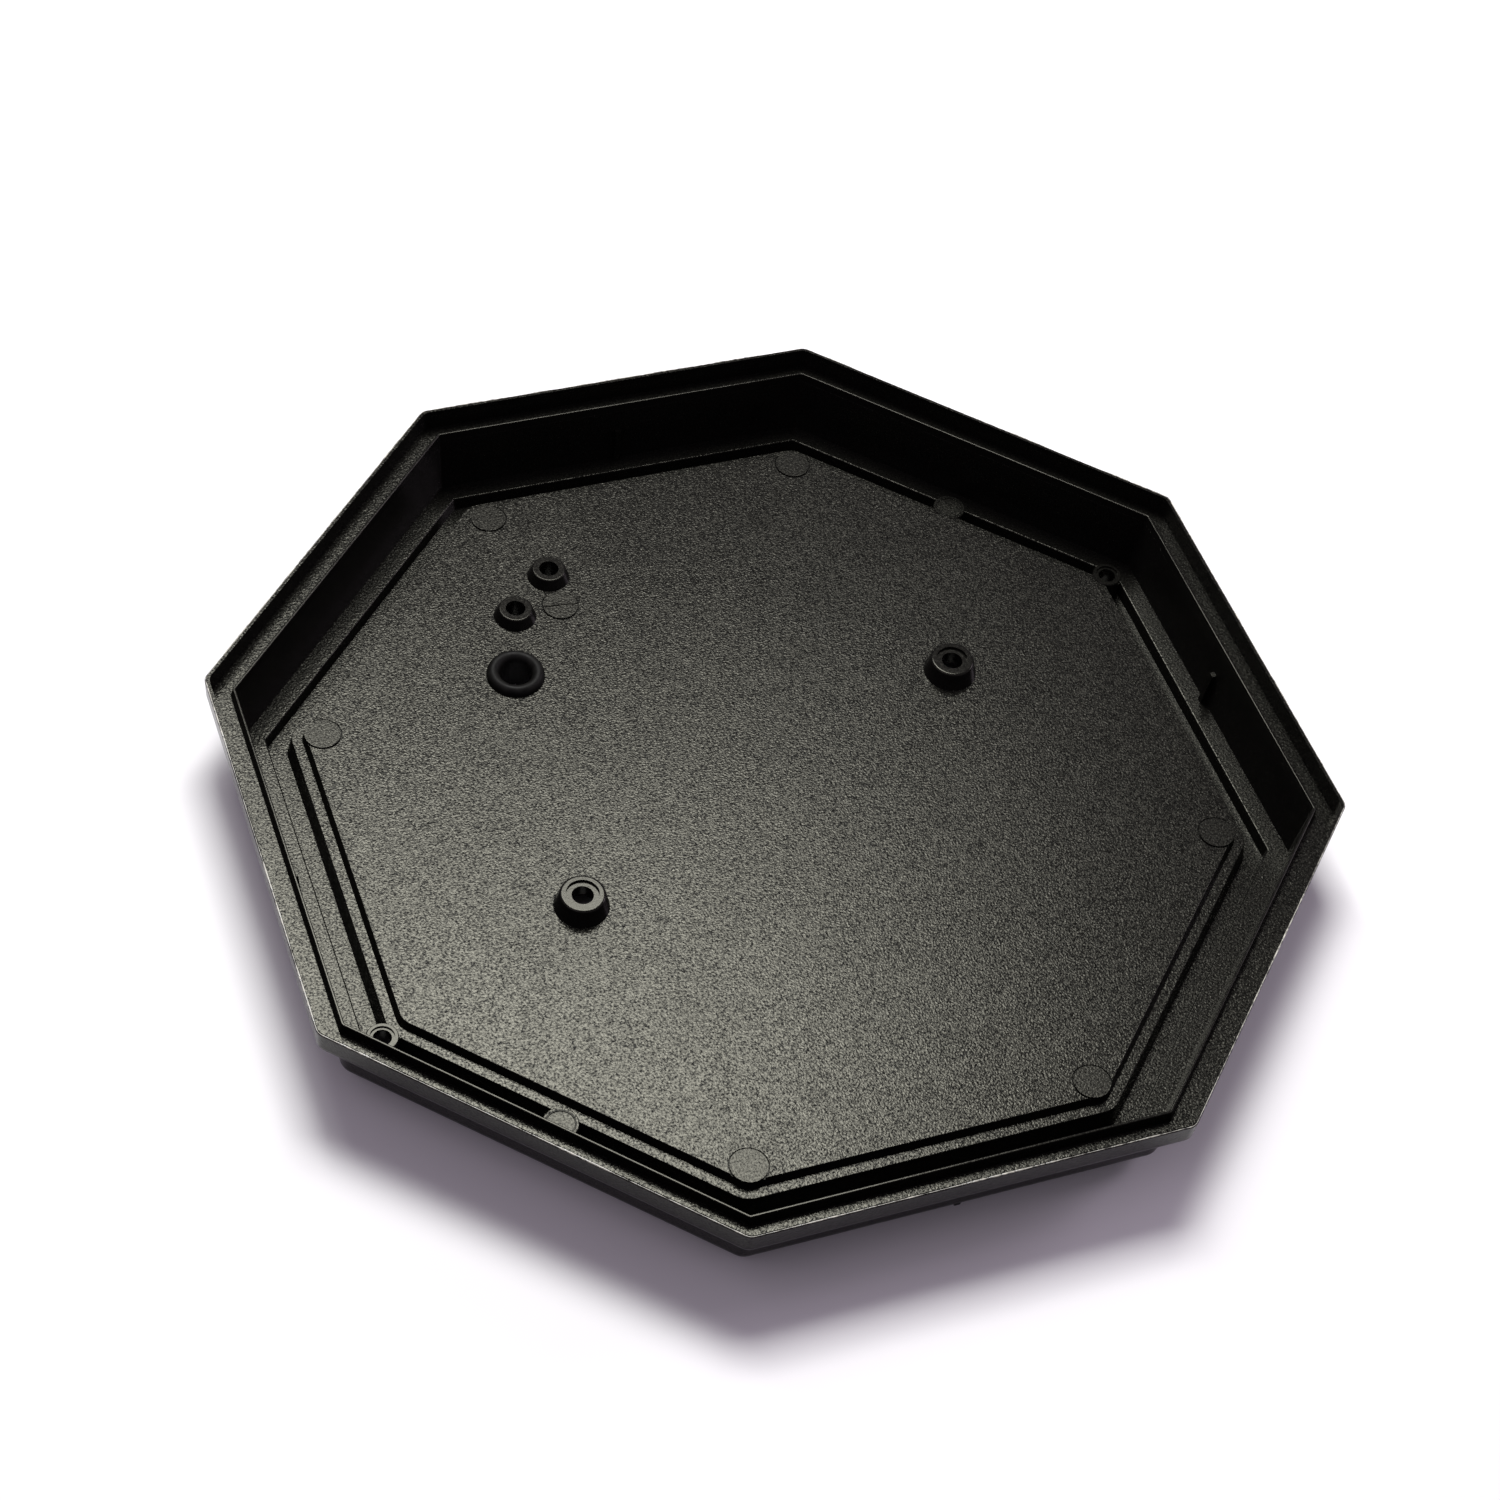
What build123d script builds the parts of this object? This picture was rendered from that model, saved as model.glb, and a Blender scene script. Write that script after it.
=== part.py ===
from build123d import *
import os
from math import cos, radians, sin

# Octagonal housing tray, open side up, with the rubber bush that lines its cable hole.
# Frame: origin at the centre of the foot's rest plane, +Z up out of the open side, millimetres.
# The octagon's flats face +X, +Y and the diagonals between them.
# An "inset" is a distance measured inwards from the rim's outer faces, square to each side.

# ---- driving sizes ----
SIDES = 8
ACROSS_FLATS = 175.0
RIM_TOP = 17.4
WALL = 1.2
SIDE_STEP = 360.0 / SIDES
HALF_STEP = SIDE_STEP / 2

# rim: outer lip, gasket channel and upright rib
LIP_THICKNESS = 0.75
LIP_DRAFT = 0.08
LIP_EDGE_CHAMFER = 0.3
CHANNEL_FLOOR = RIM_TOP - 3.9
SKIRT_BOTTOM = RIM_TOP - 5.1
SKIRT_DRAFT = 0.25
SKIRT_EDGE_RADIUS = 1.6
RIM_CORNER = 2.2
RIB_TOP = RIM_TOP - 1.9
RIB_FOOT_INSET = 3.8
RIB_OUTER_INSET = 4.3
RIB_INNER_INSET = 4.75
RIB_CORNER = 0.6
RIB_EDGE_RADIUS = 0.18

# deep wall, lower ledge and the groove inside it
LEDGE_TOP = RIM_TOP - 14.2
LEDGE_OUTER_INSET = 5.9
LEDGE_INNER_INSET = 9.2
LEDGE_CORNER = 0.8
LEDGE_EDGE_RADIUS = 0.25
GROOVE_FLOOR = LEDGE_TOP - 2.2
GROOVE_DRAFT = 0.35

# raised middle: a narrow terrace, then the floor
TERRACE_TOP = RIM_TOP - 12.5
TERRACE_INSET = 13.0
TERRACE_DRAFT = 0.7
TERRACE_CORNER = 4.0
FLOOR_TOP = RIM_TOP - 11.1
FLOOR_INSET = 15.25
FLOOR_DRAFT = 0.6
FLOOR_CORNER = 3.0
FLOOR_THICKNESS = 1.6
STEP_EDGE_RADIUS = 0.12

# underside: body wall, foot ring and the recess inside it
BODY_TOP_INSET = 3.85
BODY_FOOT_INSET = 4.7
BODY_BOTTOM = LEDGE_TOP - WALL
BODY_CORNER = 3.0
BODY_EDGE_RADIUS = 2.0
FOOT_OUTER_INSET = LEDGE_INNER_INSET - WALL
FOOT_INNER_INSET = TERRACE_INSET + WALL
FOOT_EDGE_RADIUS = 0.6
RECESS_STEP_INSET = FLOOR_INSET + WALL
RECESS_EDGE = TERRACE_TOP - WALL
RECESS_TOP = FLOOR_TOP - FLOOR_THICKNESS

# wall-screw bosses, on the diagonal through two opposite corners
SCREW_ANGLES = (HALF_STEP, HALF_STEP + 180)
WALL_SCREW_SPACING = 83.5
WALL_BOSS_HEIGHT = 3.2
WALL_BOSS_FOOT_RADIUS = 4.6
WALL_BOSS_TOP_RADIUS = 3.7
WALL_BOSS_EDGE_RADIUS = 0.45
WALL_BOSS_RECESS_RADIUS = 2.75
WALL_BOSS_RECESS_DEPTH = 0.45
WALL_SCREW_RADIUS = 1.8
WALL_SCREW_LAND = 2.0
HEAD_POCKET_RADIUS = 3.25

# closing-screw tubes, standing in the groove at the same two corners
CLOSING_SCREW_CIRCLE = 164.0
TUBE_RADIUS = 2.6
TUBE_TOP = TERRACE_TOP + 0.2
TUBE_RECESS_RADIUS = 2.0
TUBE_RECESS_DEPTH = 0.3
TUBE_EDGE_CHAMFER = 0.15
CLOSING_SCREW_RADIUS = 1.5

# cable-clamp bosses, beside the cable hole
CLAMP_BOSSES = ((-22.6, 53.8), (-30.9, 46.3))
CLAMP_BOSS_HEIGHT = 2.0
CLAMP_BOSS_FOOT_RADIUS = 3.7
CLAMP_BOSS_TOP_RADIUS = 2.85
CLAMP_BOSS_EDGE_RADIUS = 0.3
CLAMP_SCREW_RADIUS = 1.7

# ejector-pin marks
PIN_MARK_RADIUS = 3.0
PIN_MARK_HEIGHT = 0.12
PIN_RING_WIDTH = 0.25
PIN_RING_DEPTH = 0.2
CORNER_PIN_CIRCLE = 150.5
CORNER_PIN_ANGLES = [HALF_STEP + SIDE_STEP * k for k in (1, 2, 3, 5, 6, 7)]
SPLIT_MARK_CENTRE = (-22.6, 46.7)
SPLIT_MARK_ANGLE = -5.7
SPLIT_MARK_STEP = 0.15
PAD_CIRCLE = 152.2
PAD_ANGLES = (SIDE_STEP, SIDE_STEP + 180)
PAD_RADIUS = 2.9
PAD_HEIGHT = 0.15
PAD_EDGE_CHAMFER = 0.15
PAD_MARK_RADIUS = 2.2
PAD_MARK_DEPTH = 0.12

# locating ribs on the deep wall, in the middle of every second side
WALL_RIB_WIDTH = 1.0
WALL_RIB_TOP = RIM_TOP - 7.4
WALL_RIB_TOP_INSET = 6.1
WALL_RIB_FOOT_INSET = 6.9
WALL_RIB_ANGLES = (0, 90, 180, 270)

# rubber bush in the cable hole
BUSH_CENTRE = (-34.7, 33.4)
BUSH_HOLE_RADIUS = 2.75
BUSH_DOME_RADIUS = 5.0
BUSH_DOME_HEIGHT = 1.4
BUSH_NECK_RADIUS = 3.8
BUSH_NECK_GAP = 0.05
BUSH_FLANGE_RADIUS = 5.2
BUSH_FLANGE_THICKNESS = 1.2
BUSH_TAIL_TOP_RADIUS = 4.3
BUSH_TAIL_TIP_RADIUS = 3.8
BUSH_TAIL_TIP = 0.8

PAST = 1.0
NEAR = 0.12


def octagon(inset, height, corner):
    """A flat octagon at a height, with rounded corners."""
    outline = RegularPolygon(ACROSS_FLATS / 2 - inset, SIDES, major_radius=False, rotation=HALF_STEP)
    return Pos(0, 0, height) * fillet(outline.vertices(), corner)


def frustum(inset_low, low, inset_high, high, corner):
    """An octagonal block with drafted sides between two heights."""
    return loft([octagon(inset_low, low, corner), octagon(inset_high, high, corner)], ruled=True)


def block(inset, low, high, corner):
    """An octagonal block with upright sides between two heights."""
    return extrude(octagon(inset, low, corner), high - low)


def inset_of(point):
    """How far inside the rim's outer faces a point lies."""
    sides = (radians(SIDE_STEP * k) for k in range(SIDES))
    return ACROSS_FLATS / 2 - max(point.X * cos(a) + point.Y * sin(a) for a in sides)


def edge_loop(solid, inset, height):
    """The edges that run round the octagon at one inset and height, rounded corners included."""
    level = [edge for edge in solid.edges() if abs(edge.center().Z - height) < NEAR]
    return [edge for edge in level if abs(inset_of(edge.center()) - inset) < 3 * NEAR]


def polar(diameter, angle):
    """A point on a circle about the origin."""
    return diameter / 2 * cos(radians(angle)), diameter / 2 * sin(radians(angle))


def cylinder(centre, radius, low, high):
    """An upright cylinder between two heights."""
    return Pos(centre[0], centre[1], low) * extrude(Circle(radius), high - low)


def cone(centre, radius_low, low, radius_high, high):
    """An upright cone between two heights."""
    middle = Pos(centre[0], centre[1], (low + high) / 2)
    return middle * Cone(radius_low, radius_high, high - low)


def outer_shape():
    """Skirt, body and foot ring, still solid inside."""
    bevel_foot = RIM_TOP - LIP_EDGE_CHAMFER
    skirt = frustum(SKIRT_DRAFT, SKIRT_BOTTOM, 0, bevel_foot, RIM_CORNER)
    skirt = fillet(edge_loop(skirt, SKIRT_DRAFT, SKIRT_BOTTOM), SKIRT_EDGE_RADIUS)
    skirt += frustum(0, bevel_foot, LIP_EDGE_CHAMFER, RIM_TOP, RIM_CORNER)
    body = frustum(BODY_FOOT_INSET, BODY_BOTTOM, BODY_TOP_INSET, SKIRT_BOTTOM + PAST, BODY_CORNER)
    body = fillet(edge_loop(body, BODY_FOOT_INSET, BODY_BOTTOM), BODY_EDGE_RADIUS)
    foot = block(FOOT_OUTER_INSET, 0, BODY_BOTTOM + PAST, BODY_CORNER)
    foot = fillet(edge_loop(foot, FOOT_OUTER_INSET, 0), FOOT_EDGE_RADIUS)
    return skirt + body + foot


def rim_cut():
    """What is removed above the rib and in the gasket channel round it."""
    floor_inset = LIP_THICKNESS + LIP_DRAFT
    opening = frustum(floor_inset, CHANNEL_FLOOR, LIP_THICKNESS, RIM_TOP, RIM_CORNER)
    above = block(LIP_THICKNESS, RIM_TOP, RIM_TOP + PAST, RIM_CORNER)
    rib = frustum(RIB_FOOT_INSET, CHANNEL_FLOOR - PAST, RIB_OUTER_INSET, RIB_TOP, RIB_CORNER)
    return opening + above - rib


def well_cut():
    """The deep well inside the rib, down to the lower ledge, and the groove inside the ledge."""
    well = frustum(LEDGE_OUTER_INSET, LEDGE_TOP, RIB_INNER_INSET, RIB_TOP, RIB_CORNER)
    groove_inset = LEDGE_INNER_INSET + GROOVE_DRAFT
    groove = frustum(groove_inset, GROOVE_FLOOR, LEDGE_INNER_INSET, LEDGE_TOP, LEDGE_CORNER)
    return well + groove


def middle():
    """The raised middle: the terrace and the floor on it, each with a sloping side."""
    terrace_foot = TERRACE_INSET - TERRACE_DRAFT
    terrace = frustum(terrace_foot, GROOVE_FLOOR, TERRACE_INSET, TERRACE_TOP, TERRACE_CORNER)
    terrace += block(terrace_foot, GROOVE_FLOOR - WALL / 2, GROOVE_FLOOR, TERRACE_CORNER)
    floor = frustum(FLOOR_INSET - FLOOR_DRAFT, TERRACE_TOP, FLOOR_INSET, FLOOR_TOP, FLOOR_CORNER)
    return terrace + floor


def underside_recess():
    """The recess inside the foot ring, stepped up under the floor."""
    outer = block(FOOT_INNER_INSET, -PAST, RECESS_EDGE, BODY_CORNER)
    inner = block(RECESS_STEP_INSET, 0, RECESS_TOP, BODY_CORNER)
    return outer + inner


def soften(tray):
    """The small radii that the mould leaves on the long edges."""
    rib_edges = edge_loop(tray, RIB_OUTER_INSET, RIB_TOP) + edge_loop(tray, RIB_INNER_INSET, RIB_TOP)
    tray = fillet(rib_edges, RIB_EDGE_RADIUS)
    tray = fillet(edge_loop(tray, LEDGE_INNER_INSET, LEDGE_TOP), LEDGE_EDGE_RADIUS)
    tray = fillet(edge_loop(tray, TERRACE_INSET, TERRACE_TOP), STEP_EDGE_RADIUS)
    return fillet(edge_loop(tray, FLOOR_INSET, FLOOR_TOP), STEP_EDGE_RADIUS)


def wall_screw_boss(centre):
    """A conical boss on the floor, and the stepped hole that goes through it."""
    top = FLOOR_TOP + WALL_BOSS_HEIGHT
    boss = cone(centre, WALL_BOSS_FOOT_RADIUS, FLOOR_TOP, WALL_BOSS_TOP_RADIUS, top)
    boss = fillet(boss.faces().sort_by(Axis.Z)[-1].edges(), WALL_BOSS_EDGE_RADIUS)
    land = top - WALL_BOSS_RECESS_DEPTH - WALL_SCREW_LAND
    hole = cylinder(centre, WALL_SCREW_RADIUS, 0, top + PAST)
    hole += cylinder(centre, WALL_BOSS_RECESS_RADIUS, top - WALL_BOSS_RECESS_DEPTH, top + PAST)
    hole += cylinder(centre, HEAD_POCKET_RADIUS, 0, land)
    return boss, hole


def closing_screw_tube(centre):
    """A tube that stands in the groove, and its through hole."""
    tube = cylinder(centre, TUBE_RADIUS, GROOVE_FLOOR - WALL / 2, TUBE_TOP)
    tube = chamfer(tube.faces().sort_by(Axis.Z)[-1].edges(), TUBE_EDGE_CHAMFER)
    hole = cylinder(centre, CLOSING_SCREW_RADIUS, -PAST, TUBE_TOP + PAST)
    hole += cylinder(centre, TUBE_RECESS_RADIUS, TUBE_TOP - TUBE_RECESS_DEPTH, TUBE_TOP + PAST)
    return tube, hole


def clamp_boss(centre):
    """A low conical boss for a cable-clamp screw, and its through hole."""
    top = FLOOR_TOP + CLAMP_BOSS_HEIGHT
    boss = cone(centre, CLAMP_BOSS_FOOT_RADIUS, FLOOR_TOP, CLAMP_BOSS_TOP_RADIUS, top)
    boss = fillet(boss.faces().sort_by(Axis.Z)[-1].edges(), CLAMP_BOSS_EDGE_RADIUS)
    return boss, cylinder(centre, CLAMP_SCREW_RADIUS, 0, top + PAST)


def pin_mark(centre):
    """The slightly raised disc that an ejector pin leaves on the floor."""
    return cylinder(centre, PIN_MARK_RADIUS, FLOOR_TOP - PIN_RING_DEPTH, FLOOR_TOP + PIN_MARK_HEIGHT)


def pin_ring(centre):
    """The fine ring sunk round a pin mark."""
    low = FLOOR_TOP - PIN_RING_DEPTH
    ring = cylinder(centre, PIN_MARK_RADIUS + PIN_RING_WIDTH, low, FLOOR_TOP + PAST)
    return ring - cylinder(centre, PIN_MARK_RADIUS, low - PAST, FLOOR_TOP + 2 * PAST)


def split_pin_step():
    """The raised half of the split pin mark, on the side away from the cable hole."""
    low = FLOOR_TOP + PIN_MARK_HEIGHT / 2
    high = FLOOR_TOP + PIN_MARK_HEIGHT + SPLIT_MARK_STEP
    disc = cylinder(SPLIT_MARK_CENTRE, PIN_MARK_RADIUS, low, high)
    half = Pos(0, PIN_MARK_RADIUS, 0) * Box(4 * PIN_MARK_RADIUS, 2 * PIN_MARK_RADIUS, 2 * high)
    return disc & Pos(SPLIT_MARK_CENTRE[0], SPLIT_MARK_CENTRE[1], high) * Rot(0, 0, SPLIT_MARK_ANGLE) * half


def groove_pad(angle):
    """A round pad that bridges the groove in the middle of a side, with a pin mark in its top."""
    centre = polar(PAD_CIRCLE, angle)
    top = TERRACE_TOP + PAD_HEIGHT
    pad = cylinder(centre, PAD_RADIUS, GROOVE_FLOOR - WALL / 2, top)
    pad = chamfer(pad.faces().sort_by(Axis.Z)[-1].edges(), PAD_EDGE_CHAMFER)
    return pad - cylinder(centre, PAD_MARK_RADIUS, top - PAD_MARK_DEPTH, top + PAST)


def wall_rib(angle):
    """A short upright rib on the deep wall, wider at its foot."""
    foot = LEDGE_TOP - WALL / 2
    points = [(RIB_INNER_INSET, foot), (WALL_RIB_FOOT_INSET, foot)]
    points += [(WALL_RIB_TOP_INSET, WALL_RIB_TOP), (RIB_INNER_INSET, WALL_RIB_TOP)]
    outline = Polygon([(ACROSS_FLATS / 2 - inset, height) for inset, height in points], align=None)
    upright = Plane.XZ.offset(-WALL_RIB_WIDTH / 2)
    return Rot(0, 0, angle) * extrude(upright * outline, WALL_RIB_WIDTH)


def housing_tray():
    """The moulded tray with everything that is one piece with it."""
    tray = outer_shape() - rim_cut() - well_cut() - underside_recess()
    tray = soften(tray + (middle() - underside_recess()))
    screws = [wall_screw_boss(polar(WALL_SCREW_SPACING, angle)) for angle in SCREW_ANGLES]
    tubes = [closing_screw_tube(polar(CLOSING_SCREW_CIRCLE, angle)) for angle in SCREW_ANGLES]
    clamps = [clamp_boss(centre) for centre in CLAMP_BOSSES]
    for boss, hole in screws + tubes + clamps:
        tray = tray + boss - hole
    for centre in [polar(CORNER_PIN_CIRCLE, angle) for angle in CORNER_PIN_ANGLES] + [SPLIT_MARK_CENTRE]:
        tray = tray - pin_ring(centre) + pin_mark(centre)
    tray += split_pin_step()
    for angle in PAD_ANGLES:
        tray += groove_pad(angle)
    for angle in WALL_RIB_ANGLES:
        tray += wall_rib(angle)
    return tray - cylinder(BUSH_CENTRE, BUSH_NECK_RADIUS + BUSH_NECK_GAP, 0, FLOOR_TOP + PAST)


def cable_bush():
    """The rubber bush: a domed collar inside, a neck through the floor, a flange and short tail outside."""
    half_width = (BUSH_DOME_RADIUS - BUSH_HOLE_RADIUS) / 2
    upper = Pos(0, BUSH_DOME_HEIGHT / 2) * Rectangle(4 * half_width, BUSH_DOME_HEIGHT)
    dome = Ellipse(half_width, BUSH_DOME_HEIGHT) & upper
    section = Pos(BUSH_HOLE_RADIUS + half_width, FLOOR_TOP) * dome
    flange_bottom = RECESS_TOP - BUSH_FLANGE_THICKNESS
    outline = [
        (BUSH_HOLE_RADIUS, FLOOR_TOP),
        (BUSH_HOLE_RADIUS, BUSH_TAIL_TIP),
        (BUSH_TAIL_TIP_RADIUS, BUSH_TAIL_TIP),
        (BUSH_TAIL_TOP_RADIUS, flange_bottom),
        (BUSH_FLANGE_RADIUS, flange_bottom),
        (BUSH_FLANGE_RADIUS, RECESS_TOP),
        (BUSH_NECK_RADIUS, RECESS_TOP),
        (BUSH_NECK_RADIUS, FLOOR_TOP),
    ]
    section += Polygon(outline, align=None)
    return Pos(BUSH_CENTRE[0], BUSH_CENTRE[1], 0) * revolve(Plane.XZ * section, Axis.Z)


def main():
    """Writes one STEP file per piece."""
    os.makedirs("parts", exist_ok=True)
    pieces = {"housing_tray": housing_tray(), "cable_bush": cable_bush()}
    for name, piece in pieces.items():
        export_step(piece, f"parts/{name}.step")


main()
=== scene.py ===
"""A black octagonal housing tray and its rubber cable bush, lit from behind on a pale floor."""
import math
import random

import bpy
from mathutils import Matrix, Vector


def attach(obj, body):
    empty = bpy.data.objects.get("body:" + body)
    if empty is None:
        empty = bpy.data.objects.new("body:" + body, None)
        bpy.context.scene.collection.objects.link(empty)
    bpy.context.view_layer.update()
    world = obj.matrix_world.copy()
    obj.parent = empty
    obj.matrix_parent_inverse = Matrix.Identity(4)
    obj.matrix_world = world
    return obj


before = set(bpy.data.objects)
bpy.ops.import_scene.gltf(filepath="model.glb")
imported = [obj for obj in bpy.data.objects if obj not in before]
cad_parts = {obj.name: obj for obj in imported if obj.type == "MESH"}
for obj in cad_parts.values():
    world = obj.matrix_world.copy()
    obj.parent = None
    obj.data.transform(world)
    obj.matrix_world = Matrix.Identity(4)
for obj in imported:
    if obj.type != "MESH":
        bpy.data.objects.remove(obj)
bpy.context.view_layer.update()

# ---- the tray's own sizes, in metres; angles count from +X ----
HALF_ACROSS = 0.0875
RIM_TOP = 0.0174
FLOOR_TOP = 0.0063
FLOOR_MARGIN = 0.00002
SIDE_ANGLE = math.pi / 4
SCREW_ANGLES = (math.radians(22.5), math.radians(202.5))
RIB_INSET = 0.00435
RIB_REACH = 0.00055
RIB_FOOT = 0.0138
BOSSES = [((0.04175 * math.cos(a), 0.04175 * math.sin(a)), 0.0048) for a in SCREW_ANGLES]
BOSSES += [((-0.0226, 0.0538), 0.0038), ((-0.0309, 0.0463), 0.0038)]
TUBES = [((0.082 * math.cos(a), 0.082 * math.sin(a)), 0.0027) for a in SCREW_ANGLES]
PIN_ANGLES = [math.radians(22.5 + 45 * k) for k in (1, 2, 3, 5, 6, 7)]
PIN_MARKS = [((0.07525 * math.cos(a), 0.07525 * math.sin(a)), 0.003) for a in PIN_ANGLES]
PIN_MARKS += [((-0.0226, 0.0467), 0.003)]
PIN_RING = 0.00028
PAD_ANGLES = (math.pi / 4, 5 * math.pi / 4)
PADS = [((0.0761 * math.cos(a), 0.0761 * math.sin(a)), 0.0022) for a in PAD_ANGLES]

# ---- camera ----
CAMERA_PLACE = Vector((-0.1592, -0.3024, 0.4202))
CAMERA_AIM = Vector((-0.00126, 0.00783, 0.0063))
CAMERA_ROLL = math.radians(9.75)
CAMERA_LENS = 77.1
SENSOR_WIDTH = 36.0
NEAR_CLIP = 0.01


def facing(place, aim, roll=0.0):
    """The pose of a camera or light at place that looks at aim."""
    turn = (aim - place).to_track_quat("-Z", "Y").to_matrix().to_4x4()
    return Matrix.Translation(place) @ turn @ Matrix.Rotation(roll, 4, "Z")


def make_camera():
    data = bpy.data.cameras.new("camera")
    data.lens = CAMERA_LENS
    data.sensor_width = SENSOR_WIDTH
    data.clip_start = NEAR_CLIP
    camera = bpy.data.objects.new("camera", data)
    bpy.context.scene.collection.objects.link(camera)
    camera.matrix_world = facing(CAMERA_PLACE, CAMERA_AIM, CAMERA_ROLL)
    bpy.context.scene.camera = camera


# ---- light and floor ----
LIGHT_DISTANCE = 1.0
WHITE = (1.0, 1.0, 0.98)
PALE_VIOLET = (0.96, 0.83, 1.0)
SURROUNDINGS = (0.96, 0.84, 1.0, 1.0)
SURROUNDINGS_STRENGTH = 0.22
FLOOR_HALF = 3.0


def softbox(name, azimuth, elevation, size, power, tint):
    """An area light that faces the origin; azimuth and elevation in degrees, azimuth from +X."""
    data = bpy.data.lights.new(name, "AREA")
    data.shape = "RECTANGLE"
    data.size, data.size_y = size
    data.energy = power
    data.color = tint
    light = bpy.data.objects.new(name, data)
    bpy.context.scene.collection.objects.link(light)
    around, up = math.radians(azimuth), math.radians(elevation)
    away = Vector((math.cos(up) * math.cos(around), math.cos(up) * math.sin(around), math.sin(up)))
    light.matrix_world = facing(away * LIGHT_DISTANCE, Vector((0, 0, 0)))


def make_lights():
    softbox("key", 76, 64, (0.42, 0.38), 10.0, WHITE)
    softbox("sheen", 100, 52, (0.3, 0.3), 1.8, WHITE)
    softbox("low_right", 5, 28, (0.3, 0.3), 1.6, PALE_VIOLET)
    softbox("front_left", -160, 60, (0.6, 0.6), 0.8, PALE_VIOLET)
    world = bpy.data.worlds.new("studio")
    world.use_nodes = True
    background = world.node_tree.nodes["Background"]
    background.inputs["Color"].default_value = SURROUNDINGS
    background.inputs["Strength"].default_value = SURROUNDINGS_STRENGTH
    bpy.context.scene.world = world
    bpy.context.scene.view_settings.view_transform = "Standard"


def link_mesh(name, points, faces, material):
    """A new mesh object in the scene, with one material."""
    mesh = bpy.data.meshes.new(name)
    mesh.from_pydata(points, [], faces)
    mesh.validate()
    mesh.materials.append(material)
    made = bpy.data.objects.new(name, mesh)
    bpy.context.scene.collection.objects.link(made)
    return made


def make_floor():
    corners = [(x * FLOOR_HALF, y * FLOOR_HALF, 0) for x, y in ((-1, -1), (1, -1), (1, 1), (-1, 1))]
    link_mesh("floor", corners, [(0, 1, 2, 3)], white_paper())


# ---- materials ----
GRAIN_SCALE = 3000.0
FLECK_SCALE = 2800.0
HANDLING_SCALE = 45.0
GRAIN_BUMP = 0.00004
GLINT_MEAN = 0.6
GLINT_SWING = 0.62
# The cut to the highlight in the grooves round the pin marks, which is painted shade.
RING_PAINTED_SHADE = 0.75
POLISH_ON_GRAIN = 0.85
PIN_ON_GRAIN = 0.3


def new_material(name, colour, specular):
    material = bpy.data.materials.new(name)
    material.use_nodes = True
    shader = material.node_tree.nodes["Principled BSDF"]
    shader.inputs["Base Color"].default_value = colour
    shader.inputs["Specular IOR Level"].default_value = specular
    return material, shader


def wire(material, value, target):
    """Gives a node's input a number or another node's output."""
    if isinstance(value, bpy.types.NodeSocket):
        material.node_tree.links.new(value, target)
    else:
        target.default_value = value


def compute(material, operation, *values):
    """One Math node over numbers or outputs."""
    made = material.node_tree.nodes.new("ShaderNodeMath")
    made.operation = operation
    for value, target in zip(values, made.inputs):
        wire(material, value, target)
    return made.outputs["Value"]


def place_on_part(material):
    """A surface point's x, y and z in the part's own frame."""
    nodes, links = material.node_tree.nodes, material.node_tree.links
    split = nodes.new("ShaderNodeSeparateXYZ")
    links.new(nodes.new("ShaderNodeTexCoord").outputs["Object"], split.inputs["Vector"])
    return split.outputs["X"], split.outputs["Y"], split.outputs["Z"]


def noise(material, scale, detail):
    """Noise in the part's own frame, from about 0.3 to 0.7."""
    nodes, links = material.node_tree.nodes, material.node_tree.links
    made = nodes.new("ShaderNodeTexNoise")
    made.inputs["Scale"].default_value = scale
    made.inputs["Detail"].default_value = detail
    links.new(nodes.new("ShaderNodeTexCoord").outputs["Object"], made.inputs["Vector"])
    return made.outputs["Fac"]


def spread(material, source, low, high):
    """Maps a noise onto the range from low to high."""
    made = material.node_tree.nodes.new("ShaderNodeMapRange")
    wire(material, source, made.inputs["Value"])
    for name, value in (("From Min", 0.3), ("From Max", 0.7), ("To Min", low), ("To Max", high)):
        made.inputs[name].default_value = value
    return made.outputs["Result"]


def grey(material, value):
    """A slightly warm grey of the given brightness."""
    made = material.node_tree.nodes.new("ShaderNodeCombineColor")
    for name, share in (("Red", 1.0), ("Green", 0.98), ("Blue", 0.83)):
        wire(material, compute(material, "MULTIPLY", value, share), made.inputs[name])
    return made.outputs["Color"]


def bump(material, shader, height, distance):
    made = material.node_tree.nodes.new("ShaderNodeBump")
    made.inputs["Distance"].default_value = distance
    wire(material, height, made.inputs["Height"])
    wire(material, made.outputs["Normal"], shader.inputs["Normal"])


def near_axis(material, x, y, centre, reach):
    """1 within reach of an upright axis, 0 beyond it."""
    across = compute(material, "SUBTRACT", x, centre[0])
    along = compute(material, "SUBTRACT", y, centre[1])
    squares = compute(material, "MULTIPLY", across, across)
    squares = compute(material, "ADD", squares, compute(material, "MULTIPLY", along, along))
    return compute(material, "LESS_THAN", squares, reach * reach)


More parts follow.
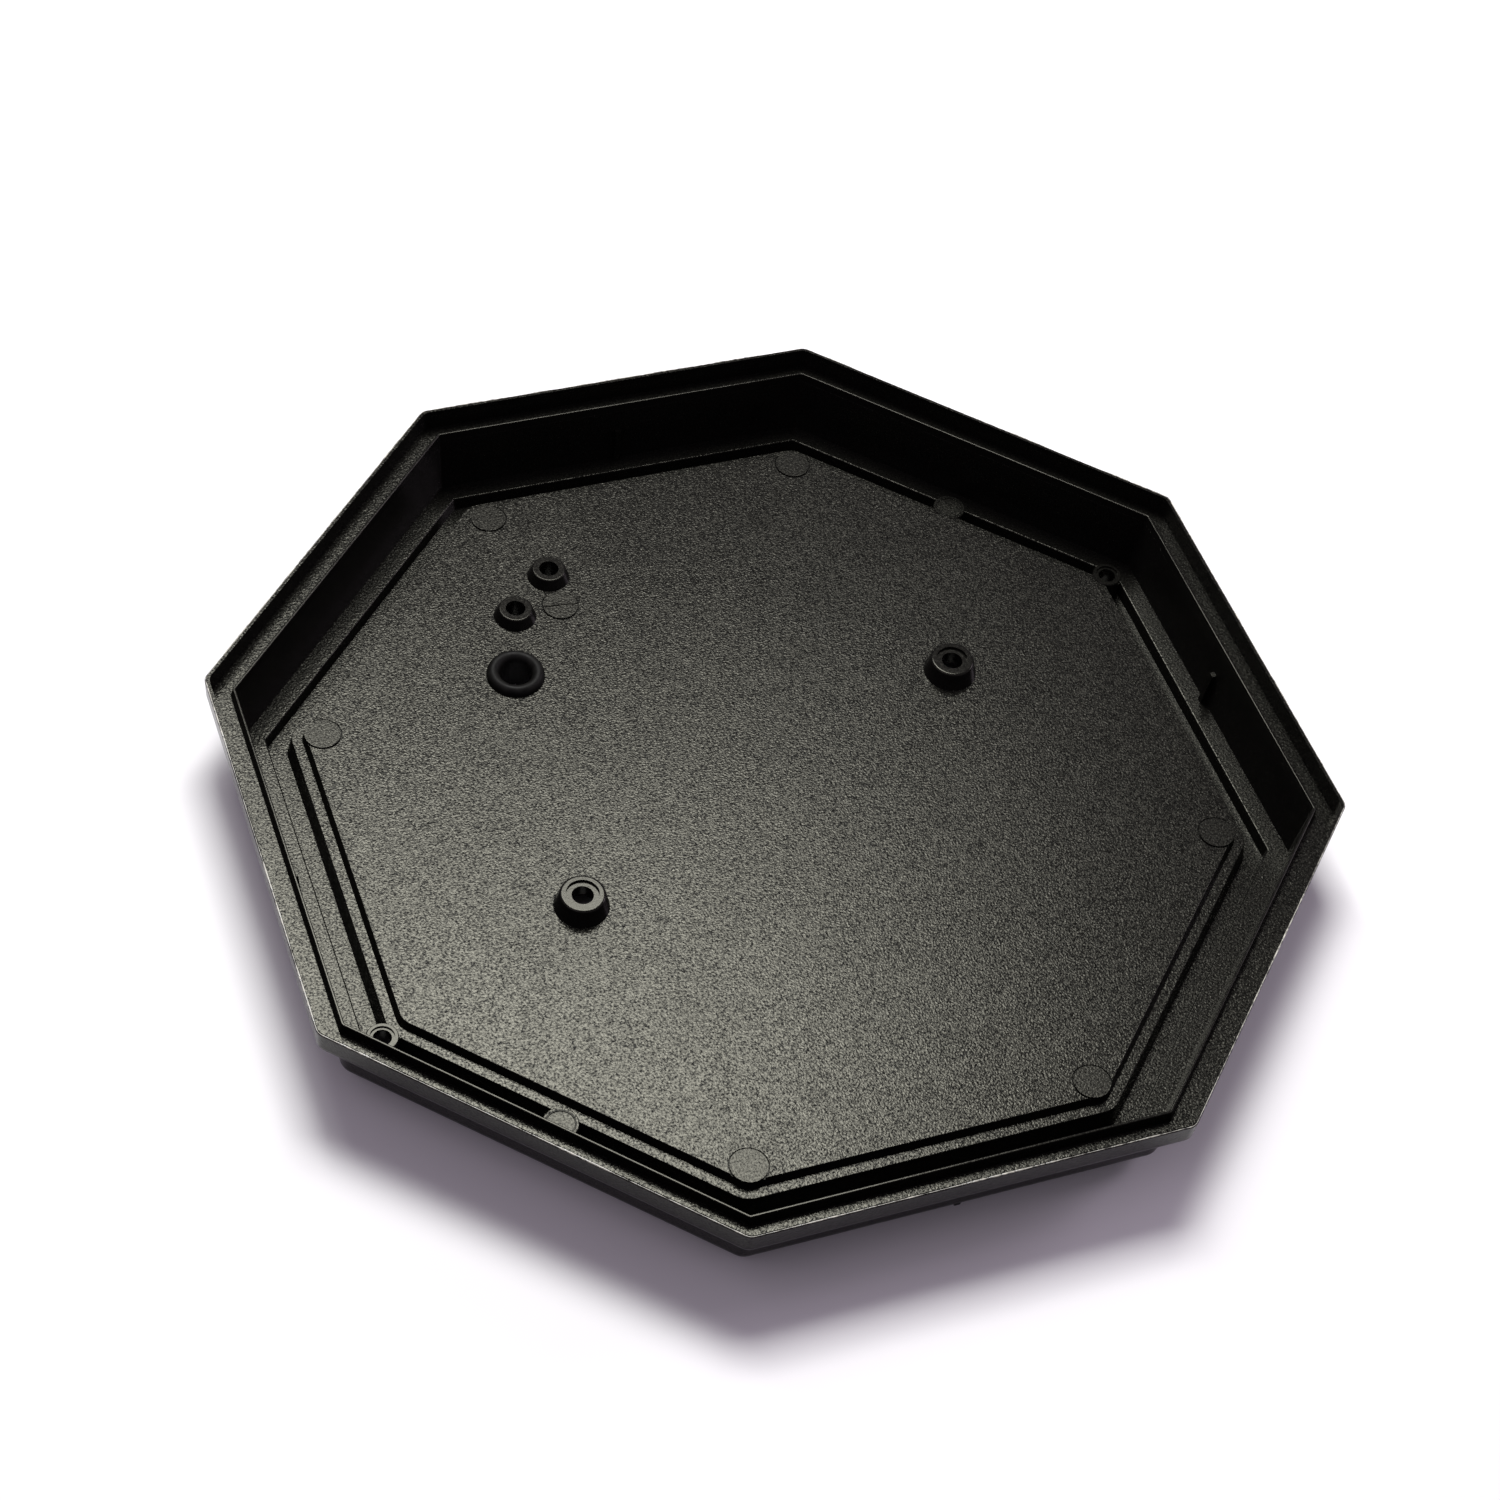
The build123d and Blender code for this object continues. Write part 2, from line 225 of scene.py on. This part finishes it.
def polish_mask(material):
    """1 on the rim's rib, the bosses and the tubes, which came out of polished or turned steel."""
    x, y, z = place_on_part(material)
    wide, deep = compute(material, "ABSOLUTE", x), compute(material, "ABSOLUTE", y)
    slant = compute(material, "MULTIPLY", compute(material, "ADD", wide, deep), math.sqrt(0.5))
    out = compute(material, "MAXIMUM", compute(material, "MAXIMUM", wide, deep), slant)
    on_rib = compute(material, "COMPARE", out, HALF_ACROSS - RIB_INSET, RIB_REACH)
    mask = compute(material, "MULTIPLY", on_rib, compute(material, "GREATER_THAN", z, RIB_FOOT))
    above_floor = compute(material, "GREATER_THAN", z, FLOOR_TOP + FLOOR_MARGIN)
    for centre, reach in BOSSES:
        disc = near_axis(material, x, y, centre, reach)
        mask = compute(material, "MAXIMUM", mask, compute(material, "MULTIPLY", disc, above_floor))
    for centre, reach in TUBES:
        mask = compute(material, "MAXIMUM", mask, near_axis(material, x, y, centre, reach))
    return mask


def disc_mask(material, margin):
    """1 on the flat ends that the ejector pins left, out to a margin past their edge."""
    x, y, _ = place_on_part(material)
    mask = 0.0
    for centre, reach in PIN_MARKS + PADS:
        mask = compute(material, "MAXIMUM", mask, near_axis(material, x, y, centre, reach + margin))
    return mask


def grain_share(material, polished, pins):
    """How much of the mould's grain the surface has: little where polished, less on the pin marks."""
    share = compute(material, "SUBTRACT", 1.0, compute(material, "MULTIPLY", polished, POLISH_ON_GRAIN))
    return compute(material, "SUBTRACT", share, compute(material, "MULTIPLY", pins, PIN_ON_GRAIN))


def tray_roughness(material, fleck, polished, pins):
    """Wanders with the grain and with handling, smoother where polished, rougher on the pin marks."""
    handling = noise(material, HANDLING_SCALE, 3.0)
    fine, broad = spread(material, fleck, 0.17, 0.25), spread(material, handling, -0.015, 0.015)
    rough = compute(material, "ADD", fine, broad)
    rough = compute(material, "SUBTRACT", rough, compute(material, "MULTIPLY", polished, 0.05))
    return compute(material, "ADD", rough, compute(material, "MULTIPLY", pins, 0.03))


def glint(material, fleck, share, rings):
    """Strength of the highlight, which sparkles with the grain; in the pin marks' rings it is cut down
    as painted shade in their grooves.
    """
    sparkle = compute(material, "MULTIPLY", spread(material, fleck, -GLINT_SWING, GLINT_SWING), share)
    sparkle = compute(material, "ADD", sparkle, GLINT_MEAN)
    # painted shade: the highlight is cut in the rings round the pin marks
    left = compute(material, "SUBTRACT", 1.0, compute(material, "MULTIPLY", rings, RING_PAINTED_SHADE))
    return compute(material, "MULTIPLY", sparkle, left)


def tray_plastic():
    """Satin black with spark-eroded mould grain that glints, plainer where the mould was polished."""
    material, shader = new_material("tray_plastic", (0.005, 0.005, 0.0045, 1.0), 0.3)
    polished = polish_mask(material)
    pins = disc_mask(material, 0.0)
    # The rings just outside the pin marks, where the grooves get painted shade.
    rings = compute(material, "SUBTRACT", disc_mask(material, PIN_RING), pins)
    share = grain_share(material, polished, pins)
    grain = noise(material, GRAIN_SCALE, 1.0)
    fleck = noise(material, FLECK_SCALE, 1.0)
    bump(material, shader, compute(material, "MULTIPLY", grain, share), GRAIN_BUMP)
    wire(material, tray_roughness(material, fleck, polished, pins), shader.inputs["Roughness"])
    wire(material, grey(material, glint(material, fleck, share, rings)), shader.inputs["Specular Tint"])
    colour = grey(material, spread(material, grain, 0.003, 0.0065))
    wire(material, colour, shader.inputs["Base Color"])
    return material


def torn_flash():
    """The thin flash on the rim's outer edge, scuffed lighter."""
    material, shader = new_material("rim_flash", (0.03, 0.03, 0.028, 1.0), 0.6)
    scuff = noise(material, 1400.0, 2.0)
    bump(material, shader, scuff, 0.0001)
    wire(material, spread(material, scuff, 0.2, 0.5), shader.inputs["Roughness"])
    colour = grey(material, spread(material, scuff, 0.05, 0.6))
    wire(material, colour, shader.inputs["Base Color"])
    return material


def bush_rubber():
    """Smooth matte black, faintly clouded."""
    material, shader = new_material("bush_rubber", (0.004, 0.004, 0.0038, 1.0), 0.12)
    cloud = noise(material, 700.0, 2.0)
    bump(material, shader, cloud, 0.00004)
    wire(material, spread(material, cloud, 0.45, 0.6), shader.inputs["Roughness"])
    colour = grey(material, spread(material, cloud, 0.0025, 0.006))
    wire(material, colour, shader.inputs["Base Color"])
    return material


def white_paper():
    material, shader = new_material("white_paper", (0.9, 0.9, 0.91, 1.0), 0.2)
    rough = spread(material, noise(material, 40.0, 3.0), 0.85, 0.95)
    wire(material, rough, shader.inputs["Roughness"])
    return material


def dress(node, material):
    """Puts a material in every slot of a CAD node's object."""
    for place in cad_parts[node].material_slots:
        place.material = material


# ---- the flash left on the rim's outer edge ----
FLASH_STEP = 0.0007
FLASH_SIDES = 6
FLASH_INSET = 0.00016
FLASH_CORNER = 0.0022
CORNER_TURNS = (0.25, 0.5, 0.75)
FLASH_START = 0.0001
FLASH_THINNEST = 0.00005
FLASH_THICKEST = 0.00016
FLASH_WANDER = 0.00004
NICK_CHANCE = 0.06
NICK_THICKNESS = 0.45


def rim_path():
    """Points round the rim's outer top edge and its corners, each with its outward direction."""
    half_side = HALF_ACROSS * math.tan(SIDE_ANGLE / 2)
    straight = half_side - FLASH_CORNER * math.tan(SIDE_ANGLE / 2)
    count = int(2 * straight / FLASH_STEP)
    path = []
    for k in range(8):
        out = Vector((math.cos(k * SIDE_ANGLE), math.sin(k * SIDE_ANGLE), 0))
        along = Vector((-out.y, out.x, 0))
        for i in range(count + 1):
            path.append((out * HALF_ACROSS + along * (2 * i / count - 1) * straight, out))
        centre = out * (HALF_ACROSS - FLASH_CORNER) + along * straight
        for turn in CORNER_TURNS:
            angle = (k + turn) * SIDE_ANGLE
            away = Vector((math.cos(angle), math.sin(angle), 0))
            path.append((centre + away * FLASH_CORNER, away))
    return path


def flash_faces(rings):
    """Quads between each ring of points and the next, and from the last to the first."""
    faces = []
    for i in range(rings):
        here, there = i * FLASH_SIDES, (i + 1) % rings * FLASH_SIDES
        for side in range(FLASH_SIDES):
            after = (side + 1) % FLASH_SIDES
            faces.append((here + side, there + side, there + after, here + after))
    return faces


def make_flash():
    """A ragged bead in the rim's chamfer: its thickness wanders, with nicks here and there."""
    random.seed(7)
    path = rim_path()
    points, size = [], FLASH_START
    for place, out in path:
        size += random.uniform(-FLASH_WANDER, FLASH_WANDER)
        size = min(max(size, FLASH_THINNEST), FLASH_THICKEST)
        radius = size * (NICK_THICKNESS if random.random() < NICK_CHANCE else 1.0)
        centre = place - out * FLASH_INSET + Vector((0, 0, RIM_TOP - FLASH_INSET))
        for side in range(FLASH_SIDES):
            angle = 2 * math.pi * side / FLASH_SIDES
            points.append(centre + radius * (out * math.cos(angle) + Vector((0, 0, math.sin(angle)))))
    flash = link_mesh("rim_flash", points, flash_faces(len(path)), torn_flash())
    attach(flash, "root")


make_camera()
make_lights()
make_floor()
dress("housing_tray", tray_plastic())
dress("cable_bush", bush_rubber())
make_flash()
